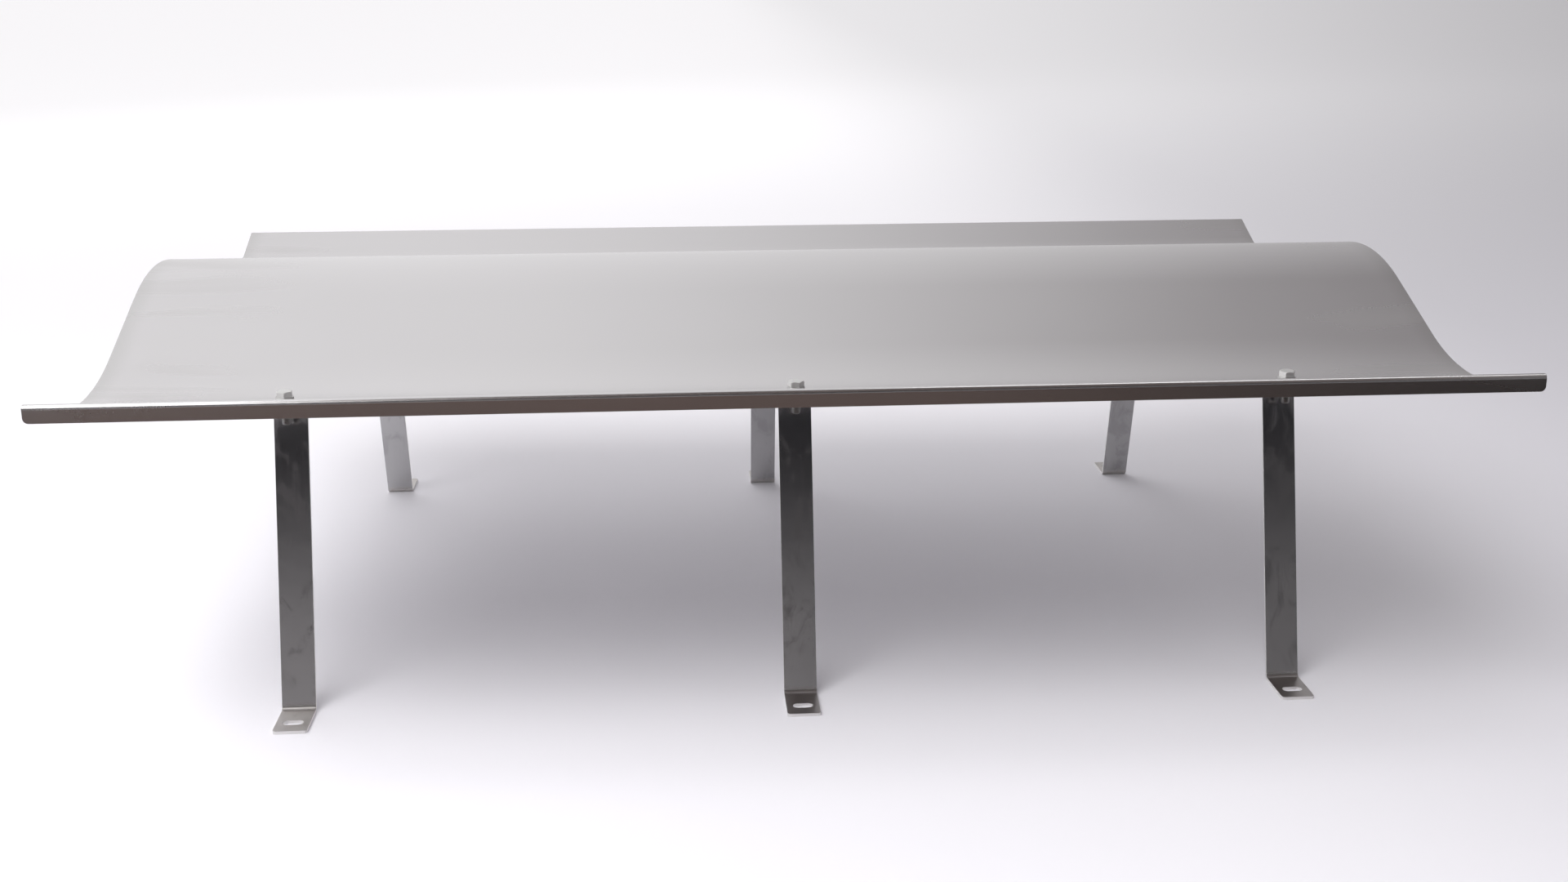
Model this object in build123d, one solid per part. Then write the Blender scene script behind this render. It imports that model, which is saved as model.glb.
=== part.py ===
from build123d import *
import os
from math import atan2, cos, degrees, radians, sin, sqrt, tan

# Wave slide: a rolled sheet of stainless steel on six bent flat-bar legs, all bolted together.
# Millimetres. X runs along the crests, Y from the front lip to the rear lip, Z up.
# The origin is on the floor, under the middle of the sheet.

# Wave sheet
sheet_width = 1250.0        # along the crests
sheet_thickness = 2.0
wavelength = 560.0          # trough to trough
wave_count = 1.5            # waves from the front lip to the rear lip
wave_height = 72.0          # trough to crest
flank_length = 100.0        # straight stretch between the arc of a crest and the arc of a trough
crest_height = 350.0        # top of the sheet above the floor
lip_depth = 15.0            # top of the fold to the lip's free edge
fold_radius = 2.0           # inside of the fold
lip_corner_radius = 4.5

# Legs, of flat bar
bar_width = 30.0
bar_thickness = 3.0
bend_radius = 3.5           # inside of both bends
leg_lean = 14.5             # degrees from upright, feet outwards
leg_spacing = 450.0         # between neighbouring legs of a row
bolt_setback = 22.8         # inside corner of the top bend to the bolt
top_flange_length = 40.0    # inside corner of the top bend to the flange's end
foot_length = 45.5          # inside corner of the bottom bend to the toe
slot_setback = 28.0         # inside corner of the bottom bend to the slot's middle
slot_width = 9.0
slot_length = 18.0
bar_corner_radius = 3.0

# Fasteners, M8
thread_diameter = 8.0
bolt_length = 25.0
bolt_tip_chamfer = 1.0
hex_across_flats = 13.0
head_height = 5.3
nut_height = 6.8
hex_chamfer = 0.9           # height of the cone that trims the hexagon's corners
hex_face_ratio = 0.95       # round end face of a head or nut, over the width across flats
washer_diameter = 16.0
washer_thickness = 1.6
washer_clearance = 0.2      # between the thread and a washer, all round
hole_clearance = 0.5        # between the thread and the sheet or a top flange, all round
thread_clearance = 0.05     # between the thread and its nut, all round

# How far each fastener's hexagon is turned from square, in degrees, front row first.
head_turns = [8.0, 21.0, 34.0, 47.0, 15.0, 28.0]
nut_turns = [40.0, 12.0, 25.0, 3.0, 51.0, 19.0]

# Wave geometry: equal arcs at crests and troughs, joined by straight flanks that touch both.
half_wave = wavelength / 2
wave_radius = (half_wave**2 + wave_height**2 - flank_length**2) / (4 * wave_height)
flank_slope = atan2(half_wave, 2 * wave_radius - wave_height) - atan2(flank_length, 2 * wave_radius)
sheet_depth = wave_count * wavelength
bolt_hole = thread_diameter + 2 * hole_clearance

# The last flank runs on until the fold brings the lip's outer face to the sheet's full depth.
fold_centre = sheet_depth / 2 - sheet_thickness - fold_radius
fold_start = fold_centre - (fold_radius + sheet_thickness / 2) * sin(flank_slope)
end_flank_length = (fold_start - half_wave - wave_radius * sin(flank_slope)) / cos(flank_slope)

# Heights of the bolted stack, from the sheet down.
trough_top = crest_height - wave_height
flange_top = trough_top - sheet_thickness
flange_bottom = flange_top - bar_thickness
trough_radius = wave_radius - sheet_thickness / 2
washer_lift = trough_radius - sqrt(trough_radius**2 - (washer_diameter / 2) ** 2)
head_washer_bottom = trough_top + washer_lift
head_bottom = head_washer_bottom + washer_thickness
nut_washer_bottom = flange_bottom - washer_thickness
nut_bottom = nut_washer_bottom - nut_height

# Distances of the legs' corners from the middle of the slide, along Y.
top_corner = half_wave - bolt_setback
bottom_corner = top_corner + (flange_bottom - bar_thickness) * tan(radians(leg_lean))


def leg_places():
    """Name, X and side of every leg. The side is -1 for the front row and 1 for the rear row."""
    columns = {"left": -leg_spacing, "middle": 0.0, "right": leg_spacing}
    rows = {"front": -1, "rear": 1}
    return [(f"{row}_{column}", x, side) for row, side in rows.items() for column, x in columns.items()]


def wave_sheet():
    """The rolled sheet: half of its upper face is drawn, mirrored, and given its thickness."""
    outer_fold_radius = fold_radius + sheet_thickness
    slope = degrees(flank_slope)
    crest_arc = JernArc((0, crest_height), (1, 0), wave_radius + sheet_thickness / 2, -slope)
    flank = PolarLine(crest_arc @ 1, flank_length, direction=crest_arc % 1)
    trough_arc = JernArc(flank @ 1, flank % 1, trough_radius, 2 * slope)
    end_flank = PolarLine(trough_arc @ 1, end_flank_length, direction=trough_arc % 1)
    fold = JernArc(end_flank @ 1, end_flank % 1, outer_fold_radius, -(90 + slope))
    lip = PolarLine(fold @ 1, lip_depth - outer_fold_radius, direction=fold % 1)
    rear_half = Curve() + [crest_arc, flank, trough_arc, end_flank, fold, lip]
    upper_face = Wire((rear_half + mirror(rear_half, Plane.YZ)).edges())
    section = Face(upper_face.offset_2d(sheet_thickness, Kind.ARC, Side.RIGHT, closed=True))
    sheet = extrude(Plane.YZ * section, sheet_width / 2, both=True)
    lip_corners = [e for e in sheet.edges().filter_by(Axis.Y) if e.center().Z < trough_top + wave_height / 2]
    sheet = fillet(lip_corners, lip_corner_radius)
    for name, x, side in leg_places():
        sheet -= Pos(x, side * half_wave, trough_top) * Cylinder(bolt_hole / 2, 4 * sheet_thickness)
    return sheet


def leg():
    """One leg of the rear row, at X = 0: a flat bar bent twice, with both flanges turned outwards."""
    corners = [
        (top_corner + top_flange_length, flange_bottom),
        (top_corner, flange_bottom),
        (bottom_corner, bar_thickness),
        (bottom_corner + foot_length, bar_thickness),
    ]
    inside = FilletPolyline(*corners, radius=bend_radius)
    section = Face(Wire(inside.edges()).offset_2d(bar_thickness, Kind.ARC, Side.RIGHT, closed=True))
    bar = extrude(Plane.YZ * section, bar_width / 2, both=True)
    bar = fillet(bar.edges().filter_by(Axis.Z), bar_corner_radius)
    bar -= Pos(0, half_wave, flange_bottom) * Cylinder(bolt_hole / 2, 4 * bar_thickness)
    slot = extrude(SlotOverall(slot_length, slot_width), 2 * bar_thickness, both=True)
    bar -= Pos(0, bottom_corner + slot_setback, 0) * slot
    return bar


def hexagon(height):
    """A hexagonal prism standing on Z = 0."""
    return extrude(RegularPolygon(hex_across_flats / 2, 6, major_radius=False), height)


def corner_cone(height):
    """What is left of a hexagonal prism of this height when its upper corners are turned to a cone."""
    corner_radius = hex_across_flats / sqrt(3)
    face_radius = hex_face_ratio * hex_across_flats / 2
    straight = Cylinder(hex_across_flats, height - hex_chamfer, align=(Align.CENTER, Align.CENTER, Align.MIN))
    cone = Pos(0, 0, height - hex_chamfer) * Cone(
        corner_radius, face_radius, hex_chamfer, align=(Align.CENTER, Align.CENTER, Align.MIN)
    )
    return straight + cone


def hex_bolt():
    """Fully threaded hex bolt, with the underside of its head on Z = 0."""
    head = hexagon(head_height) & corner_cone(head_height)
    shank = Cylinder(thread_diameter / 2, bolt_length, align=(Align.CENTER, Align.CENTER, Align.MAX))
    shank = chamfer(shank.edges().sort_by(Axis.Z)[0], bolt_tip_chamfer)
    return head + shank


def hex_nut():
    """Hex nut standing on Z = 0, with the corners turned off at both ends."""
    upper_cone = corner_cone(nut_height)
    lower_cone = Pos(0, 0, nut_height) * Rot(180, 0, 0) * upper_cone
    bore = Cylinder(thread_diameter / 2 + thread_clearance, 3 * nut_height)
    return (hexagon(nut_height) & upper_cone & lower_cone) - bore


def washer():
    """Plain washer standing on Z = 0."""
    disc = Cylinder(washer_diameter / 2, washer_thickness, align=(Align.CENTER, Align.CENTER, Align.MIN))
    return disc - Cylinder(thread_diameter / 2 + washer_clearance, 3 * washer_thickness)


def save(part, name):
    export_step(part, f"parts/{name}.step")


os.makedirs("parts", exist_ok=True)
save(wave_sheet(), "wave_sheet")
for (name, x, side), head_turn, nut_turn in zip(leg_places(), head_turns, nut_turns):
    bolt_axis = Pos(x, side * half_wave, 0)
    row_turn = Rot(0, 0, 90 - 90 * side)
    save(Pos(x, 0, 0) * row_turn * leg(), f"leg_{name}")
    save(bolt_axis * Pos(0, 0, head_bottom) * Rot(0, 0, head_turn) * hex_bolt(), f"bolt_{name}")
    save(bolt_axis * Pos(0, 0, head_washer_bottom) * washer(), f"head_washer_{name}")
    save(bolt_axis * Pos(0, 0, nut_washer_bottom) * washer(), f"nut_washer_{name}")
    save(bolt_axis * Pos(0, 0, nut_bottom) * Rot(0, 0, nut_turn) * hex_nut(), f"nut_{name}")
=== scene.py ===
from math import atan2, cos, hypot, radians, sin, sqrt, tan

import bmesh
import bpy
from mathutils import Matrix, Vector


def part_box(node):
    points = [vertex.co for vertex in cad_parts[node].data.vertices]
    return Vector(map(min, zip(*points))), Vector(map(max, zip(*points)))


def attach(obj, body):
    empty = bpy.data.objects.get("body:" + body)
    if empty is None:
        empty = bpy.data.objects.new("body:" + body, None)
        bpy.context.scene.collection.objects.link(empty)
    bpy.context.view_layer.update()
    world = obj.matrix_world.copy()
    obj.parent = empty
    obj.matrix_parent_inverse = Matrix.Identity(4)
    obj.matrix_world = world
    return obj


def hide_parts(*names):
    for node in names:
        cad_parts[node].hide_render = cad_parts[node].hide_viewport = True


# Wave slide: a rolled sheet of stainless steel on six bent flat-bar legs, bolted together with M8 fasteners.
# Metres. X runs along the crests, Y from the front lip to the rear lip, Z up.

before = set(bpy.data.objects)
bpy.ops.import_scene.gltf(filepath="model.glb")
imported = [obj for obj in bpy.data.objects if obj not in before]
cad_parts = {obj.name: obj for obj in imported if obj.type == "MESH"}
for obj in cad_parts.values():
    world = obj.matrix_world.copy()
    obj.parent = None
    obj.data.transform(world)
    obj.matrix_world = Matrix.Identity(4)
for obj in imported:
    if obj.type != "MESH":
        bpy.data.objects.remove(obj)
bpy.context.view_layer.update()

MM = 0.001

# ---------------------------------------------------------------- sizes

# Wave sheet. Its width and depth come from the frame.
SHEET_WIDTH = 2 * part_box("wave_sheet")[1].x
HALF_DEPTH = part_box("wave_sheet")[1].y
SHEET_THICKNESS = 2.0 * MM
CREST_TOP = 350.0 * MM
WAVE_HEIGHT = 72.0 * MM            # trough to crest
WAVE_COUNT = 1.5
FLANK_LENGTH = 100.0 * MM          # straight stretch between two arcs
LIP_DEPTH = 15.0 * MM
FOLD_RADIUS = 4.0 * MM             # outside of the fold
LIP_CORNER_RADIUS = 4.5 * MM
SHEET_COLUMNS = 24
SHEET_EDGE_BEVEL = 0.3 * MM

TROUGH_TOP = CREST_TOP - WAVE_HEIGHT
FLANGE_TOP = TROUGH_TOP - SHEET_THICKNESS
HALF_WAVE = HALF_DEPTH / WAVE_COUNT
WAVE_RADIUS = (HALF_WAVE**2 + WAVE_HEIGHT**2 - FLANK_LENGTH**2) / (4 * WAVE_HEIGHT)
FLANK_SLOPE = atan2(HALF_WAVE, 2 * WAVE_RADIUS - WAVE_HEIGHT) - atan2(FLANK_LENGTH, 2 * WAVE_RADIUS)

# Legs, of flat bar. The lines below follow the bar's hollow side.
BAR_WIDTH = 30.0 * MM
BAR_THICKNESS = 3.0 * MM
BEND_RADIUS = 3.5 * MM             # inside of both bends
LEG_LEAN = radians(14.5)           # from upright, feet outwards
BOLT_SETBACK = 22.8 * MM           # inside corner of the top bend to the bolt
TOP_FLANGE_LENGTH = 40.0 * MM
SLOT_SETBACK = 28.0 * MM           # inside corner of the bottom bend to the slot's middle
SLOT_WIDTH = 9.0 * MM
SLOT_LENGTH = 18.0 * MM
BAR_CORNER_RADIUS = 3.0 * MM
BAR_EDGE_BEVEL = 0.35 * MM
BOLT_HOLE = 9.0 * MM

FLANGE_BOTTOM = FLANGE_TOP - BAR_THICKNESS
TOP_CORNER = HALF_WAVE - BOLT_SETBACK
BOTTOM_CORNER = TOP_CORNER + (FLANGE_BOTTOM - BAR_THICKNESS) * tan(LEG_LEAN)
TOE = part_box("leg_rear_middle")[1].y

# M8 fasteners
THREAD_RADIUS = 4.0 * MM
THREAD_PITCH = 1.25 * MM
THREAD_DEPTH = 0.767 * MM
BOLT_LENGTH = 25.0 * MM
BOLT_TIP_CHAMFER = 1.0 * MM
ACROSS_FLATS = 13.0 * MM
HEAD_HEIGHT = 5.3 * MM
NUT_HEIGHT = 6.8 * MM
HEX_CHAMFER = 0.9 * MM             # height of the cone that trims the hexagon's corners
HEX_FACE_RATIO = 0.95              # round end face of a head or nut, over the width across flats
HEX_EDGE_BEVEL = 0.2 * MM
HEX_CORNER_RADIUS = ACROSS_FLATS / sqrt(3)
HEX_FACE_RADIUS = HEX_FACE_RATIO * ACROSS_FLATS / 2
HEX_FLARE = (HEX_CORNER_RADIUS - HEX_FACE_RADIUS) / HEX_CHAMFER
NUT_BORE_RADIUS = 4.05 * MM
WASHER_RADIUS = 8.0 * MM
WASHER_THICKNESS = 1.6 * MM
WASHER_BORE_RADIUS = 4.2 * MM
WASHER_EDGE_BEVEL = 0.3 * MM
NUT_BOTTOM = FLANGE_BOTTOM - WASHER_THICKNESS - NUT_HEIGHT

# How far each fastener's hexagon is turned from square, in degrees.
HEAD_TURNS = {
    "front_left": 8, "front_middle": 21, "front_right": 34,
    "rear_left": 47, "rear_middle": 15, "rear_right": 28,
}
NUT_TURNS = {
    "front_left": 40, "front_middle": 12, "front_right": 25,
    "rear_left": 3, "rear_middle": 51, "rear_right": 19,
}

CUTTER_REACH = 10.0 * MM           # how far a drill or slot cutter goes past the steel
COUNTERSINK = 0.4 * MM
SIDE_BAND = 12.0 * MM              # duller band along each side of the sheet
NUT_SHADE_FADE = 0.2 * MM

SMOOTH_ANGLE = radians(35)
CUT_EDGE = "cut_edge"              # face attribute: 1 on sheared and punched edges
NEAR = 0.01 * MM                   # two places closer than this are the same


# ---------------------------------------------------------------- modelling helpers

def deselect_all():
    bpy.ops.object.select_all(action="DESELECT")


def take(piece):
    """Makes this the one selected and active object."""
    deselect_all()
    piece.select_set(True)
    bpy.context.view_layer.objects.active = piece


def added(name):
    """Names the primitive that was just added and puts its place and size into its mesh."""
    piece = bpy.context.object
    piece.name = name
    piece.data.name = name
    take(piece)
    bpy.ops.object.transform_apply(location=True, rotation=True, scale=True)
    return piece


def add_plane(name, width, length, y, z, tilt, columns=1):
    """A rectangle standing along X, with the middle of its length at (y, z), tilted about X."""
    deselect_all()
    bpy.ops.mesh.primitive_grid_add(
        x_subdivisions=columns, y_subdivisions=1, size=1, location=(0, y, z), rotation=(tilt, 0, 0)
    )
    bpy.context.object.scale = (width, length, 1)
    return added(name)


def add_cylinder(name, radius, bottom, top, x=0.0, y=0.0, sides=64):
    deselect_all()
    bpy.ops.mesh.primitive_cylinder_add(
        vertices=sides, radius=radius, depth=top - bottom, location=(x, y, (bottom + top) / 2)
    )
    return added(name)


def add_cone(name, bottom_radius, top_radius, bottom, top, sides=96):
    deselect_all()
    bpy.ops.mesh.primitive_cone_add(
        vertices=sides, radius1=bottom_radius, radius2=top_radius, depth=top - bottom,
        location=(0, 0, (bottom + top) / 2),
    )
    return added(name)


def edit(piece):
    take(piece)
    bpy.ops.object.mode_set(mode="EDIT")
    bpy.ops.mesh.select_mode(type="VERT")


def leave_edit():
    bpy.ops.object.mode_set(mode="OBJECT")


def pick(piece, test):
    """In edit mode, selects only the vertices that pass the test, and the edges and faces between them."""
    bpy.ops.mesh.select_all(action="DESELECT")
    mesh = bmesh.from_edit_mesh(piece.data)
    for vertex in mesh.verts:
        vertex.select_set(bool(test(vertex.co)))
    mesh.select_flush(True)
    bmesh.update_edit_mesh(piece.data)


def pick_line(piece, y, z):
    """Selects the edge along X that runs through (y, z)."""
    pick(piece, lambda co: hypot(co.y - y, co.z - z) < NEAR)


def roll(angle, centre_y, centre_z, steps):
    """Carries the selected edge on round an arc about an axis along X. A positive angle turns Y towards Z."""
    bpy.ops.mesh.spin(steps=steps, angle=-angle, center=(0, centre_y, centre_z), axis=(1, 0, 0))


def carry(dy, dz):
    """Carries the selected edge straight on."""
    bpy.ops.mesh.extrude_region_move(TRANSFORM_OT_translate={"value": (0, dy, dz)})


def merge_and_face_out(piece):
    """Closes the seams and turns every face the same way, outwards on a closed shell."""
    edit(piece)
    bpy.ops.mesh.select_all(action="SELECT")
    bpy.ops.mesh.remove_doubles(threshold=NEAR / 10)
    bpy.ops.mesh.normals_make_consistent(inside=False)
    leave_edit()


def round_corners(piece, radius, test):
    """Rounds the corners of an open sheet, seen square to it."""
    edit(piece)
    pick(piece, test)
    bpy.ops.mesh.bevel(offset=radius, segments=6, affect="VERTICES")
    leave_edit()


def modify(piece, kind, **settings):
    """Adds a modifier with these settings and applies it."""
    take(piece)
    modifier = piece.modifiers.new(kind.lower(), kind)
    for key, value in settings.items():
        setattr(modifier, key, value)
    bpy.ops.object.modifier_apply(modifier=modifier.name)


def combine(piece, other, operation):
    """Cuts, joins or trims the piece with another solid, which is used up."""
    modify(piece, "BOOLEAN", object=other, operation=operation, solver="EXACT")
    bpy.data.meshes.remove(other.data)


def thicken(piece, thickness, towards):
    """Gives an open sheet its thickness, on the side that the direction points to."""
    face = max(piece.data.polygons, key=lambda polygon: abs(polygon.normal.dot(towards)))
    side = 1 if face.normal.dot(towards) > 0 else -1
    modify(piece, "SOLIDIFY", thickness=thickness, offset=side, use_even_offset=True, use_rim=True)
    merge_and_face_out(piece)


def soften_edges(piece, width, segments=2):
    modify(
        piece, "BEVEL", width=width, segments=segments, limit_method="ANGLE", angle_limit=SMOOTH_ANGLE,
        use_clamp_overlap=False, miter_outer="MITER_ARC",
    )


def smooth(piece):
    take(piece)
    bpy.ops.object.shade_smooth_by_angle(angle=SMOOTH_ANGLE)
    modify(piece, "WEIGHTED_NORMAL", keep_sharp=True)


def mark_cut_edges(piece, was_cut):
    """Notes on each face whether it was sheared or punched, for the finish to read."""
    marks = piece.data.attributes.new(CUT_EDGE, "FLOAT", "FACE")
    for face, mark in zip(piece.data.polygons, marks.data):
        mark.value = 1.0 if was_cut(face) else 0.0


def placed_copy(model, name, place):
    """A copy of a finished model with its own mesh, put in its place."""
    piece = bpy.data.objects.new(name, model.data.copy())
    piece.data.name = name
    piece.data.transform(place)
    bpy.context.scene.collection.objects.link(piece)
    return piece


def finish_piece(piece, material, slot, *nodes):
    piece.data.materials.clear()
    piece.data.materials.append(material)
    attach(piece, "root")
    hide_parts(*nodes)


# ---------------------------------------------------------------- shader helpers

class Shader:
    """Short ways to add and link nodes in one node tree."""

    def __init__(self, tree):
        self.tree = tree

    def node(self, kind, **settings):
        made = self.tree.nodes.new(kind)
        for key, value in settings.items():
            setattr(made, key, value)
        return made

    def feed(self, socket, value):
        """Links a socket, or sets a plain number, colour or vector."""
        if isinstance(value, bpy.types.NodeSocket):
            self.tree.links.new(value, socket)
        else:
            socket.default_value = value

    def math(self, operation, a, b=0.0, clamp=False):
        made = self.node("ShaderNodeMath", operation=operation, use_clamp=clamp)
        self.feed(made.inputs[0], a)
        self.feed(made.inputs[1], b)
        return made.outputs[0]

    def span(self, value, low, high, out_low=0.0, out_high=1.0):
        """Maps low..high smoothly to out_low..out_high."""
        made = self.node("ShaderNodeMapRange", interpolation_type="SMOOTHSTEP")
        for socket, number in zip(made.inputs[:5], (value, low, high, out_low, out_high)):
            self.feed(socket, number)
        return made.outputs[0]

    def stretch(self, vector, scale):
        made = self.node("ShaderNodeMapping")
        self.feed(made.inputs["Vector"], vector)
        self.feed(made.inputs["Scale"], scale)
        return made.outputs[0]

    def noise(self, vector, scale, detail=4.0, roughness=0.55, distortion=0.0):
        made = self.node("ShaderNodeTexNoise")
        self.feed(made.inputs["Vector"], vector)
        self.feed(made.inputs["Scale"], scale)
        self.feed(made.inputs["Detail"], detail)
        self.feed(made.inputs["Roughness"], roughness)
        self.feed(made.inputs["Distortion"], distortion)
        return made.outputs["Fac"]

    def blend(self, factor, a, b):
        """Colour a where the factor is 0, and b where it is 1."""
        made = self.node("ShaderNodeMix", data_type="RGBA")
        self.feed(made.inputs["Factor"], factor)
        self.feed(made.inputs[6], a)
        self.feed(made.inputs[7], b)
        return made.outputs[2]

    def axes(self, vector):
        """The X, Y and Z of a vector, by name."""
        made = self.node("ShaderNodeSeparateXYZ")
        self.feed(made.inputs[0], vector)
        return made.outputs

    def group(self, tree, **inputs):
        made = self.node("ShaderNodeGroup", node_tree=tree)
        for key, value in inputs.items():
            self.feed(made.inputs[key], value)
        return made.outputs


def new_group(name, inputs, outputs):
    """A node group with named sockets, given as {name: (socket kind, value)} and {name: socket kind}."""
    tree = bpy.data.node_groups.new(name, "ShaderNodeTree")
    for key, (kind, value) in inputs.items():
        socket = tree.interface.new_socket(key, in_out="INPUT", socket_type=kind)
        if value is not None:
            socket.default_value = value
    for key, kind in outputs.items():
        tree.interface.new_socket(key, in_out="OUTPUT", socket_type=kind)
    shader = Shader(tree)
    return tree, shader, shader.node("NodeGroupInput").outputs, shader.node("NodeGroupOutput").inputs


def rolled_grain_group():
    """The fine streaks that rolling leaves in steel, and the faint clouds between them."""
    tree, shader, given, out = new_group(
        "rolled_grain",
        {
            "Vector": ("NodeSocketVector", None),
            "Across": ("NodeSocketFloat", 900.0),
            "Along": ("NodeSocketFloat", 30.0),
            "Clouds": ("NodeSocketFloat", 9.0),
        },
        {"Streaks": "NodeSocketFloat", "Clouds": "NodeSocketFloat"},
    )
    scale = shader.node("ShaderNodeCombineXYZ")
    shader.feed(scale.inputs["X"], given["Across"])
    shader.feed(scale.inputs["Y"], given["Along"])
    shader.feed(scale.inputs["Z"], given["Along"])
    streaks = shader.noise(shader.stretch(given["Vector"], scale.outputs[0]), 1.0, 3.0, 0.6)
    clouds = shader.noise(given["Vector"], given["Clouds"], 3.0, 0.5, 0.4)
    shader.feed(out["Streaks"], streaks)
    shader.feed(out["Clouds"], clouds)
    return tree


def handling_marks_group():
    """Where hands, cloths and stacking have left marks: 0 is clean steel, 1 a mark."""
    tree, shader, given, out = new_group(
        "handling_marks",
        {
            "Vector": ("NodeSocketVector", None),
            "Size": ("NodeSocketFloat", 14.0),
            "Amount": ("NodeSocketFloat", 0.5),
        },
        {"Marks": "NodeSocketFloat", "Specks": "NodeSocketFloat"},
    )
    broad = shader.noise(given["Vector"], given["Size"], 5.0, 0.62, 1.2)
    level = shader.math("SUBTRACT", 0.72, shader.math("MULTIPLY", given["Amount"], 0.3))
    marks = shader.span(broad, level, shader.math("ADD", level, 0.16))
    fine = shader.noise(given["Vector"], shader.math("MULTIPLY", given["Size"], 14.0), 2.0, 0.5)
    specks = shader.span(fine, 0.70, 0.76)
    shader.feed(out["Marks"], marks)
    shader.feed(out["Specks"], specks)
    return tree


def worn_edge_group():
    """The thin bright line where an edge has been ground or rubbed."""
    tree, shader, given, out = new_group(
        "worn_edge",
        {"Strength": ("NodeSocketFloat", 1.0)},
        {"Edge": "NodeSocketFloat"},
    )
    geometry = shader.node("ShaderNodeNewGeometry")
    edge = shader.span(geometry.outputs["Pointiness"], 0.52, 0.62)
    shader.feed(out["Edge"], shader.math("MULTIPLY", edge, given["Strength"], clamp=True))
    return tree


ROLLED_GRAIN = rolled_grain_group()
HANDLING_MARKS = handling_marks_group()
WORN_EDGE = worn_edge_group()


def new_material(name):
    """A material with its node writer, its surface and its object coordinates."""
    material = bpy.data.materials.new(name)
    material.use_nodes = True
    shader = Shader(material.node_tree)
    surface = material.node_tree.nodes["Principled BSDF"]
    place = shader.node("ShaderNodeTexCoord").outputs["Object"]
    return material, shader, surface, place


def new_steel(name):
    material, shader, surface, place = new_material(name)
    surface.inputs["Metallic"].default_value = 1.0
    return material, shader, surface, place


def relief(shader, surface, height, distance):
    """Lets a height pattern stand out by this distance."""
    bump = shader.node("ShaderNodeBump")
    shader.feed(bump.inputs["Height"], height)
    bump.inputs["Distance"].default_value = distance
    bump.inputs["Strength"].default_value = 1.0
    shader.feed(surface.inputs["Normal"], bump.outputs["Normal"])


def sheet_steel():
    """Satin mill finish, with a slightly duller band down both sides and faint wiping marks beside them."""
    material, shader, surface, place = new_steel("sheet_steel")
    grain = shader.group(ROLLED_GRAIN, Vector=place, Across=700.0, Along=24.0, Clouds=3.0)
    from_middle = shader.math("ABSOLUTE", shader.axes(place)["X"])
    wander = shader.math("MULTIPLY", shader.noise(place, 7.0, 3.0), 16 * MM)
    side = shader.math("ADD", from_middle, wander)
    band = shader.span(side, SHEET_WIDTH / 2 - SIDE_BAND, SHEET_WIDTH / 2 + 10 * MM)
    wiping = shader.noise(shader.stretch(place, (2.5, 17.0, 12.0)), 1.0, 2.0, 0.5, 0.8)
    smudge = shader.math("MULTIPLY", shader.span(wiping, 0.48, 0.72), shader.span(side, 0.44, 0.62))
    tone = shader.blend(grain["Clouds"], (0.715, 0.705, 0.71, 1), (0.765, 0.755, 0.76, 1))
    tone = shader.blend(shader.math("MULTIPLY", smudge, 0.30), tone, (0.60, 0.585, 0.57, 1))
    tone = shader.blend(shader.math("MULTIPLY", band, 0.35), tone, (0.56, 0.56, 0.545, 1))
    shader.feed(surface.inputs["Base Color"], tone)
    rough = shader.math("ADD", 0.23, shader.math("MULTIPLY", grain["Streaks"], 0.01))
    rough = shader.math("ADD", rough, shader.math("MULTIPLY", grain["Clouds"], 0.05))
    rough = shader.math("ADD", rough, shader.math("MULTIPLY", smudge, 0.06))
    shader.feed(surface.inputs["Roughness"], rough)
    relief(shader, surface, grain["Clouds"], 0.25 * MM)
    return material


def leg_steel():
    """Grey flat bar, streaked along its length and blotchy from handling, lighter and duller towards the
    foot, and bright where it was sheared, its cut faces lightened further by a painted highlight."""
    material, shader, surface, place = new_steel("leg_steel")
    grain = shader.group(ROLLED_GRAIN, Vector=place, Across=1600.0, Along=30.0, Clouds=22.0)
    lengthways = shader.stretch(place, (1.6, 1.0, 0.8))
    marks = shader.group(HANDLING_MARKS, Vector=lengthways, Size=26.0, Amount=0.75)
    edge = shader.group(WORN_EDGE, Strength=0.8)
    cut = shader.node("ShaderNodeAttribute", attribute_name=CUT_EDGE).outputs["Fac"]
    tone = shader.blend(grain["Clouds"], (0.40, 0.395, 0.40, 1), (0.50, 0.495, 0.50, 1))
    tone = shader.blend(shader.math("MULTIPLY", grain["Streaks"], 0.25), tone, (0.60, 0.60, 0.60, 1))
    tone = shader.blend(shader.math("MULTIPLY", marks["Marks"], 0.45), tone, (0.30, 0.295, 0.30, 1))
    tone = shader.blend(shader.math("MULTIPLY", marks["Specks"], 0.5), tone, (0.18, 0.175, 0.17, 1))
    tone = shader.blend(edge["Edge"], tone, (0.78, 0.775, 0.77, 1))
    z = shader.axes(place)["Z"]
    # Lighter, warmer and rougher within the lowest few millimetres, around the foot.
    lighter_at_foot = shader.span(z, BAR_THICKNESS, BAR_THICKNESS + 2 * BEND_RADIUS, 1.0, 0.0)
    tone = shader.blend(shader.math("MULTIPLY", lighter_at_foot, 0.7), tone, (0.60, 0.57, 0.545, 1))
    # Cut faces: bright bare steel, lightened further as a painted highlight so the slot's far wall reads
    # white.
    tone = shader.blend(cut, tone, (0.90, 0.89, 0.88, 1))
    shader.feed(surface.inputs["Base Color"], tone)
    rough = shader.math("ADD", 0.13, shader.math("MULTIPLY", marks["Marks"], 0.10))
    rough = shader.math("ADD", rough, shader.math("MULTIPLY", grain["Streaks"], 0.06))
    rough = shader.math("ADD", rough, shader.math("MULTIPLY", lighter_at_foot, 0.22))
    rough = shader.math("ADD", rough, shader.math("MULTIPLY", cut, 0.30))
    shader.feed(surface.inputs["Roughness"], rough)
    relief(shader, surface, grain["Clouds"], 0.06 * MM)
    return material


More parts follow.
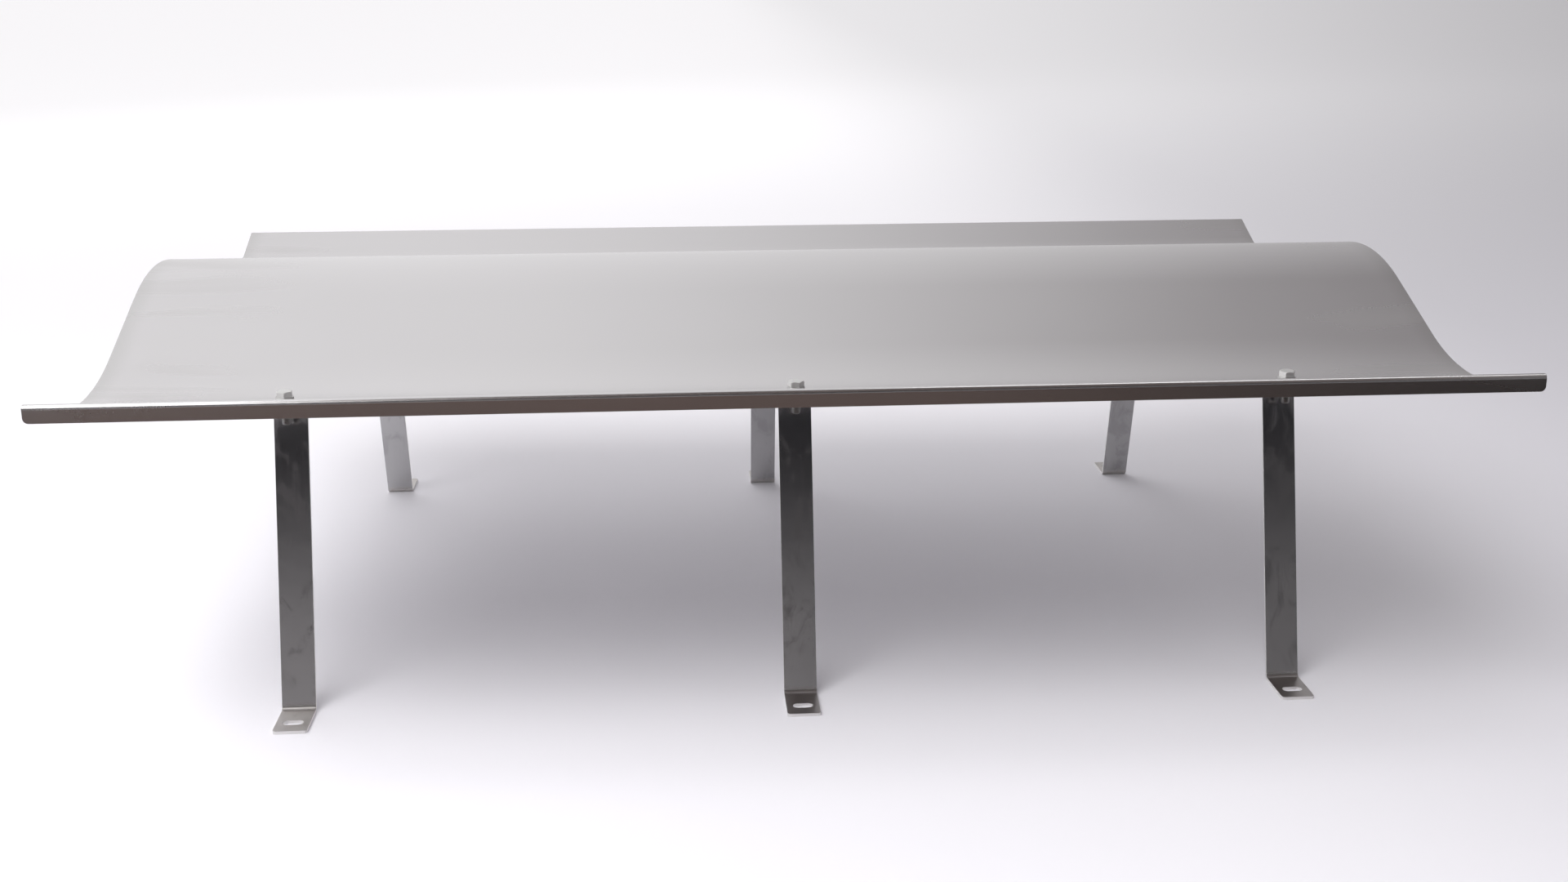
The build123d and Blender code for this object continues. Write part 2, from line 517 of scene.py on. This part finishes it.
def fastener_steel():
    """Bright bolts and nuts, frosted by their rolling and pressing, with the threads below the nuts darkened
    as painted shade.
    """
    material, shader, surface, place = new_steel("fastener_steel")
    grain = shader.group(ROLLED_GRAIN, Vector=place, Across=2500.0, Along=2500.0, Clouds=260.0)
    marks = shader.group(HANDLING_MARKS, Vector=place, Size=170.0, Amount=0.5)
    edge = shader.group(WORN_EDGE, Strength=0.5)
    tone = shader.blend(grain["Clouds"], (0.76, 0.76, 0.75, 1), (0.88, 0.88, 0.87, 1))
    tone = shader.blend(shader.math("MULTIPLY", marks["Marks"], 0.4), tone, (0.45, 0.44, 0.43, 1))
    tone = shader.blend(edge["Edge"], tone, (0.90, 0.90, 0.89, 1))
    z = shader.axes(place)["Z"]
    # Painted shade: the threads below the nut are darkened, standing in for the shade under the sheet.
    below_nut_shade = shader.span(z, NUT_BOTTOM - NUT_SHADE_FADE, NUT_BOTTOM + NUT_SHADE_FADE, 0.75, 0.0)
    tone = shader.blend(below_nut_shade, tone, (0.26, 0.25, 0.24, 1))
    shader.feed(surface.inputs["Base Color"], tone)
    rough = shader.math("ADD", 0.38, shader.math("MULTIPLY", grain["Streaks"], 0.14))
    rough = shader.math("ADD", rough, shader.math("MULTIPLY", marks["Marks"], 0.10))
    shader.feed(surface.inputs["Roughness"], rough)
    relief(shader, surface, grain["Streaks"], 0.02 * MM)
    return material


def washer_steel():
    """Punched washers with a tumbled, duller face and a brighter rim."""
    material, shader, surface, place = new_steel("washer_steel")
    grain = shader.group(ROLLED_GRAIN, Vector=place, Across=1800.0, Along=1800.0, Clouds=320.0)
    marks = shader.group(HANDLING_MARKS, Vector=place, Size=210.0, Amount=0.6)
    edge = shader.group(WORN_EDGE, Strength=0.6)
    tone = shader.blend(grain["Clouds"], (0.55, 0.55, 0.545, 1), (0.72, 0.72, 0.71, 1))
    tone = shader.blend(shader.math("MULTIPLY", marks["Marks"], 0.4), tone, (0.40, 0.39, 0.38, 1))
    tone = shader.blend(edge["Edge"], tone, (0.85, 0.85, 0.84, 1))
    shader.feed(surface.inputs["Base Color"], tone)
    rough = shader.math("ADD", 0.28, shader.math("MULTIPLY", grain["Streaks"], 0.16))
    shader.feed(surface.inputs["Roughness"], rough)
    relief(shader, surface, grain["Streaks"], 0.03 * MM)
    return material


# ---------------------------------------------------------------- the sheet

def wave_sheet():
    """Half the upper face is rolled from one straight flank, mirrored and given its thickness."""
    crest_radius = WAVE_RADIUS + SHEET_THICKNESS / 2
    trough_radius = WAVE_RADIUS - SHEET_THICKNESS / 2
    crest_centre = (0.0, CREST_TOP - crest_radius)
    trough_centre = (HALF_WAVE, TROUGH_TOP + trough_radius)
    rise, run = sin(FLANK_SLOPE), cos(FLANK_SLOPE)
    flank_top = (crest_radius * rise, crest_centre[1] + crest_radius * run)
    flank_foot = (flank_top[0] + FLANK_LENGTH * run, flank_top[1] - FLANK_LENGTH * rise)
    end_flank_start = trough_centre[0] + trough_radius * rise
    fold_y = HALF_DEPTH - FOLD_RADIUS
    end_flank_run = fold_y - FOLD_RADIUS * rise - end_flank_start
    end_flank_rise = end_flank_run * tan(FLANK_SLOPE)
    fold_z = trough_centre[1] - trough_radius * run + end_flank_rise - FOLD_RADIUS * run
    lip_bottom = fold_z + FOLD_RADIUS - LIP_DEPTH

    sheet = add_plane(
        "rolled_sheet", SHEET_WIDTH, FLANK_LENGTH, (flank_top[0] + flank_foot[0]) / 2,
        (flank_top[1] + flank_foot[1]) / 2, -FLANK_SLOPE, SHEET_COLUMNS,
    )
    edit(sheet)
    pick_line(sheet, *flank_top)
    roll(FLANK_SLOPE, *crest_centre, steps=14)
    pick_line(sheet, *flank_foot)
    roll(2 * FLANK_SLOPE, *trough_centre, steps=28)
    carry(end_flank_run, end_flank_rise)
    roll(-(radians(90) + FLANK_SLOPE), fold_y, fold_z, steps=14)
    carry(0, lip_bottom - fold_z)
    leave_edit()
    modify(sheet, "MIRROR", use_axis=(False, True, False), use_clip=True, merge_threshold=NEAR)
    merge_and_face_out(sheet)
    round_corners(
        sheet, LIP_CORNER_RADIUS,
        lambda co: abs(co.z - lip_bottom) < NEAR and abs(co.x) > SHEET_WIDTH / 2 - NEAR,
    )
    thicken(sheet, SHEET_THICKNESS, Vector((0, 0, -1)))
    soften_edges(sheet, SHEET_EDGE_BEVEL)
    for x, y in bolt_places().values():
        drill = add_cylinder(
            "drill", BOLT_HOLE / 2, FLANGE_TOP - CUTTER_REACH, TROUGH_TOP + CUTTER_REACH, x, y, 48
        )
        combine(sheet, drill, "DIFFERENCE")
    smooth(sheet)
    return sheet


def bolt_places():
    """X and Y of every bolt, from the washer under its head in the frame."""
    places = {}
    for name in HEAD_TURNS:
        low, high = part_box(f"head_washer_{name}")
        places[name] = ((low.x + high.x) / 2, (low.y + high.y) / 2)
    return places


# ---------------------------------------------------------------- the legs

def leg():
    """One leg of the rear row, at X = 0: the upright comes first, then both bends and both flanges."""
    down = Vector((0, sin(LEG_LEAN), -cos(LEG_LEAN)))
    inward = Vector((0, cos(LEG_LEAN), sin(LEG_LEAN)))
    top_turn = radians(90) + LEG_LEAN
    foot_turn = radians(90) - LEG_LEAN
    upright_top = Vector((0, TOP_CORNER, FLANGE_BOTTOM)) + down * BEND_RADIUS * tan(top_turn / 2)
    upright_foot = Vector((0, BOTTOM_CORNER, BAR_THICKNESS)) - down * BEND_RADIUS * tan(foot_turn / 2)
    top_centre = upright_top + inward * BEND_RADIUS
    foot_centre = upright_foot + inward * BEND_RADIUS
    middle = (upright_top + upright_foot) / 2
    flange_end = TOP_CORNER + TOP_FLANGE_LENGTH

    bar = add_plane(
        "leg_model", BAR_WIDTH, (upright_foot - upright_top).length, middle.y, middle.z,
        radians(90) + LEG_LEAN,
    )
    edit(bar)
    pick_line(bar, upright_top.y, upright_top.z)
    roll(-top_turn, top_centre.y, top_centre.z, steps=12)
    carry(flange_end - top_centre.y, 0)
    pick_line(bar, upright_foot.y, upright_foot.z)
    roll(foot_turn, foot_centre.y, foot_centre.z, steps=10)
    carry(TOE - foot_centre.y, 0)
    leave_edit()
    merge_and_face_out(bar)
    round_corners(
        bar, BAR_CORNER_RADIUS,
        lambda co: abs(co.y - flange_end) < NEAR or abs(co.y - TOE) < NEAR,
    )
    thicken(bar, BAR_THICKNESS, -inward)
    drill = add_cylinder(
        "drill", BOLT_HOLE / 2, FLANGE_BOTTOM - CUTTER_REACH, FLANGE_BOTTOM + CUTTER_REACH, 0, HALF_WAVE, 48
    )
    combine(bar, drill, "DIFFERENCE")
    slot_y = BOTTOM_CORNER + SLOT_SETBACK
    slot_cutter = add_cylinder("slot_cutter", SLOT_WIDTH / 2, -CUTTER_REACH, CUTTER_REACH, 0, slot_y, 48)
    half_run = (SLOT_LENGTH - SLOT_WIDTH) / 2
    edit(slot_cutter)
    for side in (-1, 1):
        pick(slot_cutter, lambda co: co.x * side > NEAR)
        bpy.ops.transform.translate(value=(side * half_run, 0, 0))
    leave_edit()
    combine(bar, slot_cutter, "DIFFERENCE")
    soften_edges(bar, BAR_EDGE_BEVEL)
    smooth(bar)

    def was_cut(face):
        on_side = abs(face.normal.x) > 0.6
        in_flange = face.center.y > TOP_CORNER + BEND_RADIUS and face.center.z > FLANGE_BOTTOM
        in_foot = face.center.y > foot_centre.y and face.center.z < BAR_THICKNESS
        return on_side or (in_flange or in_foot) and abs(face.normal.z) < 0.6

    mark_cut_edges(bar, was_cut)
    return bar


# ---------------------------------------------------------------- the fasteners

def hexagon(name, height):
    """A hexagonal prism on Z = 0, its upright edges just broken and its upper corners turned to a cone."""
    prism = add_cylinder(name, HEX_CORNER_RADIUS, 0, height, sides=6)
    modify(prism, "BEVEL", width=HEX_EDGE_BEVEL, segments=2, limit_method="ANGLE", angle_limit=SMOOTH_ANGLE)
    wide = HEX_FACE_RADIUS + HEX_FLARE * (height + MM)
    cone = add_cone("turned_face", wide, HEX_FACE_RADIUS, -MM, height)
    combine(prism, cone, "INTERSECT")
    return prism


def threaded_rod(top, bottom):
    """A rod with an M8 thread, from one height down to another, with a chamfered tip."""
    crest = THREAD_PITCH / 8
    root = THREAD_PITCH / 4
    flank = (THREAD_PITCH - crest - root) / 2
    turns = int((top - bottom) / THREAD_PITCH) + 4
    deselect_all()
    start = bottom - 2 * THREAD_PITCH
    bpy.ops.mesh.primitive_plane_add(size=MM, location=(THREAD_RADIUS, 0, start))
    rod = added("thread")
    edit(rod)
    bpy.ops.mesh.select_all(action="SELECT")
    bpy.ops.mesh.merge(type="CENTER")
    for dx, dz in ((0, crest), (-THREAD_DEPTH, flank), (0, root), (THREAD_DEPTH, flank)):
        bpy.ops.mesh.extrude_region_move(TRANSFORM_OT_translate={"value": (dx, 0, dz)})
    leave_edit()
    modify(
        rod, "SCREW", axis="Z", angle=radians(360), screw_offset=THREAD_PITCH, iterations=turns,
        steps=32, render_steps=32, use_merge_vertices=False,
    )
    merge_and_face_out(rod)
    edit(rod)
    for height, clear in ((top, "clear_outer"), (bottom - THREAD_PITCH / 2, "clear_inner")):
        bpy.ops.mesh.select_all(action="SELECT")
        bpy.ops.mesh.bisect(plane_co=(0, 0, height), plane_no=(0, 0, 1), use_fill=True, **{clear: True})
    leave_edit()
    merge_and_face_out(rod)
    wide = THREAD_RADIUS + MM
    tip_radius = THREAD_RADIUS - BOLT_TIP_CHAMFER
    cone_top = bottom + wide - tip_radius
    tip = add_cone("tip", tip_radius, wide, bottom, cone_top)
    shank = add_cylinder("shank", wide, cone_top - NEAR, top + MM, sides=96)
    combine(shank, tip, "UNION")
    combine(rod, shank, "INTERSECT")
    return rod


def hex_bolt():
    """Fully threaded hex bolt, with the underside of its head on Z = 0."""
    head = hexagon("bolt_model", HEAD_HEIGHT)
    combine(head, threaded_rod(MM, -BOLT_LENGTH), "UNION")
    smooth(head)
    return head


def hex_nut():
    """Hex nut standing on Z = 0, with the corners turned off at both ends and a countersunk bore."""
    nut = hexagon("nut_model", NUT_HEIGHT)
    wide = HEX_FACE_RADIUS + HEX_FLARE * (NUT_HEIGHT + MM)
    cone = add_cone("turned_face", HEX_FACE_RADIUS, wide, 0, NUT_HEIGHT + MM)
    combine(nut, cone, "INTERSECT")
    combine(nut, add_cylinder("bore", NUT_BORE_RADIUS, -MM, NUT_HEIGHT + MM, sides=48), "DIFFERENCE")
    wide, narrow = NUT_BORE_RADIUS + COUNTERSINK + MM, NUT_BORE_RADIUS - MM
    low = add_cone("countersink", wide, narrow, -MM, COUNTERSINK + MM, 48)
    combine(nut, low, "DIFFERENCE")
    high = add_cone("countersink", narrow, wide, NUT_HEIGHT - COUNTERSINK - MM, NUT_HEIGHT + MM, 48)
    combine(nut, high, "DIFFERENCE")
    smooth(nut)
    return nut


def washer():
    """Plain washer standing on Z = 0, with the soft edges of a tumbled punching."""
    disc = add_cylinder("washer_model", WASHER_RADIUS, 0, WASHER_THICKNESS)
    combine(disc, add_cylinder("bore", WASHER_BORE_RADIUS, -MM, WASHER_THICKNESS + MM), "DIFFERENCE")
    soften_edges(disc, WASHER_EDGE_BEVEL, 3)
    smooth(disc)
    return disc


# ---------------------------------------------------------------- building the slide

def build_slide():
    sheet_finish, leg_finish = sheet_steel(), leg_steel()
    fastener_finish, washer_finish = fastener_steel(), washer_steel()
    finish_piece(wave_sheet(), sheet_finish, "sheet_steel", "wave_sheet")
    models = leg(), hex_bolt(), hex_nut(), washer()
    leg_model, bolt_model, nut_model, washer_model = models
    for name, (x, y) in bolt_places().items():
        row_turn = Matrix.Rotation(radians(0 if y > 0 else 180), 4, "Z")
        piece = placed_copy(leg_model, f"bent_leg_{name}", Matrix.Translation((x, 0, 0)) @ row_turn)
        finish_piece(piece, leg_finish, "leg_steel", f"leg_{name}")
        for model, label, node, turn, finish, slot in (
            (washer_model, "flat_washer_top", "head_washer", 0, washer_finish, "washer_steel"),
            (washer_model, "flat_washer_under", "nut_washer", 0, washer_finish, "washer_steel"),
            (nut_model, "hex_nut", "nut", NUT_TURNS[name], fastener_finish, "fastener_steel"),
        ):
            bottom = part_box(f"{node}_{name}")[0].z
            place = Matrix.Translation((x, y, bottom)) @ Matrix.Rotation(radians(turn), 4, "Z")
            finish_piece(placed_copy(model, f"{label}_{name}", place), finish, slot, f"{node}_{name}")
        head_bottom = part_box(f"bolt_{name}")[1].z - HEAD_HEIGHT
        turn = Matrix.Rotation(radians(HEAD_TURNS[name]), 4, "Z")
        place = Matrix.Translation((x, y, head_bottom)) @ turn
        piece = placed_copy(bolt_model, f"hex_bolt_{name}", place)
        finish_piece(piece, fastener_finish, "fastener_steel", f"bolt_{name}")
    for model in models:
        bpy.data.meshes.remove(model.data)


# ---------------------------------------------------------------- camera, floor and light

BLACK = (0.0, 0.0, 0.0, 1)
WHITE = (1.0, 1.0, 1.0, 1)
CAMERA_PLACE = (-0.1098, -1.8402, 0.6775)
CAMERA_HEADING = radians(-4.423)
CAMERA_DIP = radians(16.014)
CAMERA_ROLL = radians(-0.086)
LENS = 41.325                      # millimetres, on a sensor 36 wide
LENS_SHIFT = -0.0154


def add_camera():
    data = bpy.data.cameras.new("camera")
    data.lens = LENS
    data.sensor_width = 36.0
    data.shift_x = LENS_SHIFT
    data.clip_end = 200.0
    camera = bpy.data.objects.new("camera", data)
    bpy.context.scene.collection.objects.link(camera)
    camera.matrix_world = (
        Matrix.Translation(CAMERA_PLACE)
        @ Matrix.Rotation(CAMERA_HEADING, 4, "Z")
        @ Matrix.Rotation(radians(90) - CAMERA_DIP, 4, "X")
        @ Matrix.Rotation(CAMERA_ROLL, 4, "Z")
    )
    bpy.context.scene.camera = camera


def add_floor():
    """A plain pale floor with painted shade: it darkens a little to the right and in the very front.
    Far behind the slide it glows with painted light, as if a white wall were lit there."""
    deselect_all()
    bpy.ops.mesh.primitive_plane_add(size=80, location=(0, 0, 0))
    floor = added("floor")
    material, shader, surface, place = new_material("pale_floor")
    surface.inputs["Roughness"].default_value = 0.85
    surface.inputs["Specular IOR Level"].default_value = 0.1
    surface.inputs["Emission Strength"].default_value = 1.0
    axes = shader.axes(place)
    x, y = axes["X"], axes["Y"]
    # Painted shade: darker towards the right and in the very front, where less light reaches the floor.
    tone = shader.blend(shader.span(x, 0.3, 1.35), (0.80, 0.79, 0.83, 1), (0.57, 0.56, 0.60, 1))
    tone = shader.blend(shader.span(y, -1.25, -0.65, 0.17, 0.0), tone, BLACK)
    shader.feed(surface.inputs["Base Color"], tone)
    # Painted light: the far floor glows, brightest at the left, as if a lit white wall stood there.
    far = shader.span(y, -1.0, 6.0)
    bearing = shader.math("DIVIDE", x, shader.math("ADD", y, 2.0))
    glow = shader.span(bearing, -0.05, 0.65, 0.60, 0.22)
    level = shader.math("MULTIPLY", far, glow)
    shader.feed(surface.inputs["Emission Color"], shader.blend(level, BLACK, WHITE))
    floor.data.materials.append(material)


def add_dark_card():
    """A painted reflection of the dark room behind the viewer: a dark sheet lying in front of the slide that
    glows faintly brown at its left. Only reflections see it.
    """
    deselect_all()
    bpy.ops.mesh.primitive_plane_add(size=1, location=(0.6, -4.0, MM))
    bpy.context.object.scale = (4.6, 7, 1)
    card = added("dark_card")
    material, shader, surface, place = new_material("dark_room")
    surface.inputs["Base Color"].default_value = (0.01, 0.01, 0.01, 1)
    surface.inputs["Roughness"].default_value = 1.0
    surface.inputs["Specular IOR Level"].default_value = 0.0
    surface.inputs["Emission Strength"].default_value = 1.0
    # Painted reflection: the card glows faint brown at its left and black to the right.
    to_right = shader.span(shader.axes(place)["X"], 0.0, 1.2)
    shade = shader.blend(to_right, (0.100, 0.068, 0.058, 1), (0.005, 0.002, 0.001, 1))
    shader.feed(surface.inputs["Emission Color"], shade)
    card.data.materials.append(material)
    card.visible_camera = False
    card.visible_diffuse = False
    card.visible_shadow = False


def add_softbox(name, place, aim, size, power, reflected):
    """A large soft lamp, never seen itself, and in reflections only when told."""
    data = bpy.data.lights.new(name, "AREA")
    data.shape = "RECTANGLE"
    data.size, data.size_y = size
    data.energy = power
    lamp = bpy.data.objects.new(name, data)
    bpy.context.scene.collection.objects.link(lamp)
    lamp.location = place
    direction = Vector(aim) - Vector(place)
    lamp.rotation_euler = direction.to_track_quat("-Z", "Y").to_euler()
    lamp.visible_camera = False
    lamp.visible_glossy = reflected


def add_sky():
    """Studio surroundings: a pale wall behind the slide that falls off to the right, and a dark room
    behind the viewer. In reflections the dark room has pale walls to its left and right."""
    world = bpy.data.worlds.new("studio")
    world.use_nodes = True
    bpy.context.scene.world = world
    shader = Shader(world.node_tree)
    background = world.node_tree.nodes["Background"]
    axes = shader.axes(shader.node("ShaderNodeTexCoord").outputs["Generated"])
    x, y, z = axes["X"], axes["Y"], axes["Z"]
    bearing = shader.math("ARCTAN2", x, y)
    wall = shader.blend(shader.span(bearing, -0.2, 0.78), (0.91, 0.90, 0.91, 1), (0.185, 0.17, 0.175, 1))
    wall = shader.blend(shader.span(z, 0.4, 1.0, 0.0, 0.12), wall, (0.65, 0.64, 0.65, 1))
    low = shader.blend(shader.span(x, -0.3, 0.4), (0.44, 0.42, 0.43, 1), (0.24, 0.23, 0.235, 1))
    room = shader.blend(shader.span(z, 0.125, 0.195), low, (0.010, 0.010, 0.013, 1))
    room = shader.blend(shader.span(z, 0.40, 0.60), room, (0.115, 0.095, 0.090, 1))
    mirrored = shader.node("ShaderNodeLightPath").outputs["Is Glossy Ray"]
    side_wall = shader.math("MULTIPLY", shader.span(shader.math("ABSOLUTE", x), 0.42, 0.62), mirrored)
    room = shader.blend(side_wall, room, (0.46, 0.45, 0.46, 1))
    turned_away = shader.span(shader.math("ABSOLUTE", bearing), radians(85), radians(125))
    shader.feed(background.inputs["Color"], shader.blend(turned_away, wall, room))
    background.inputs["Strength"].default_value = 1.0


add_camera()
add_floor()
add_dark_card()
for name, place, aim, size, power, reflected in (
    ("key_light", (-1.72, -1.2, 2.0), (-1.72, -1.2, 0.0), (1.6, 2.6), 36, True),
    ("ridge_light", (1.1, 0.0, 2.0), (1.1, 0.0, 0.0), (1.7, 0.5), 4.5, True),
    ("top_light", (-1.2, -1.7, 2.9), (-0.3, -0.2, 0.0), (2.4, 2.2), 66, False),
    ("front_fill", (-1.8, -3.8, 2.8), (0.0, 0.0, 0.1), (4.0, 3.0), 36, False),
    ("rear_fill", (-2.0, 3.5, 3.0), (0.0, 0.0, 0.1), (4.0, 3.0), 50, False),
    ("right_fill", (3.4, -0.6, 2.2), (0.0, 0.0, 0.1), (3.0, 3.0), 20, False),
):
    add_softbox(name, place, aim, size, power, reflected)
add_sky()
bpy.context.scene.view_settings.view_transform = "Standard"
build_slide()
